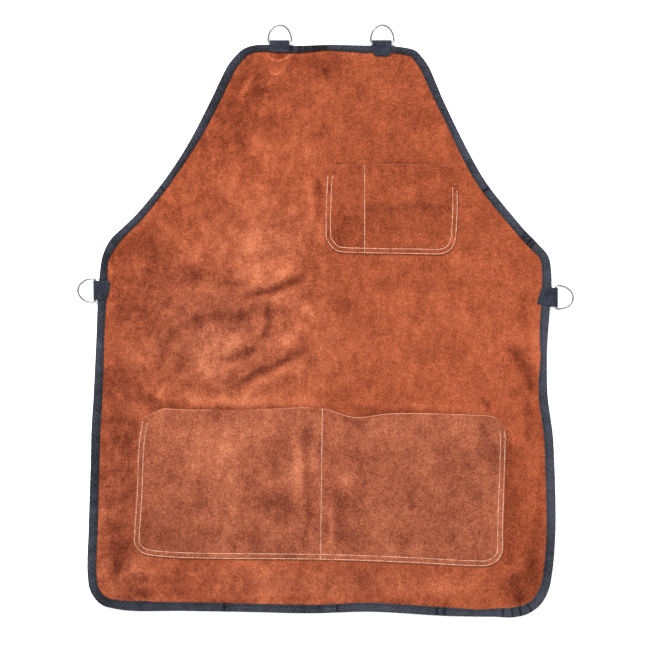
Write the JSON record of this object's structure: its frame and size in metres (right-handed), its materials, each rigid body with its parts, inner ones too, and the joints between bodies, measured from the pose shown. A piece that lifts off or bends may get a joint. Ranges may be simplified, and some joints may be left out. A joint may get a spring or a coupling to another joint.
{
  "type": "leather work apron",
  "caption": "Suede leather bib apron with a taped edge, a chest pocket with pencil slot, a divided lower pocket and wire D-rings on webbing tabs for its straps, lying flat.",
  "frame": {"origin": "middle of the footprint, on the surface that the apron lies on", "axes": "+X to the viewer's right, +Y up the bib, +Z out of the front face"},
  "size_m": [0.6508, 0.7771, 0.0129],
  "materials": {
    "suede": "napped split leather, rust brown, matt",
    "pocket_suede": "napped split leather, rust brown, matt",
    "binding_tape": "dark blue-grey woven tape",
    "webbing": "dark navy ribbed webbing",
    "ring_metal": "bright nickel-plated wire"
  },
  "bodies": {
    "apron": {"body_panel": "suede", "edge_binding": "binding_tape", "lower_pocket": "pocket_suede", "chest_pocket": "pocket_suede", "strap_tab_top_left": "webbing", "strap_tab_top_right": "webbing", "strap_tab_side_left": "webbing", "strap_tab_side_right": "webbing"},
    "ring_top_left": {"d_ring_top_left": "ring_metal"},
    "ring_top_right": {"d_ring_top_right": "ring_metal"},
    "ring_side_left": {"d_ring_side_left": "ring_metal"},
    "ring_side_right": {"d_ring_side_right": "ring_metal"}
  },
  "joints": [
    {"name": "swing_top_left", "type": "hinge", "parent": "apron", "child": "ring_top_left", "pos_m": [-0.05998, 0.36405, 0.0038], "axis": [1, 0, 0], "range_deg": [-115, 125]},
    {"name": "swing_top_right", "type": "hinge", "parent": "apron", "child": "ring_top_right", "pos_m": [0.07401, 0.36405, 0.0038], "axis": [1, 0, 0], "range_deg": [-115, 125]},
    {"name": "swing_side_left", "type": "hinge", "parent": "apron", "child": "ring_side_left", "pos_m": [-0.30105, 0.03952, 0.0038], "axis": [0, 1, 0], "range_deg": [-115, 125]},
    {"name": "swing_side_right", "type": "hinge", "parent": "apron", "child": "ring_side_right", "pos_m": [0.30105, 0.03032, 0.0038], "axis": [0, -1, 0], "range_deg": [-115, 125]}
  ]
}
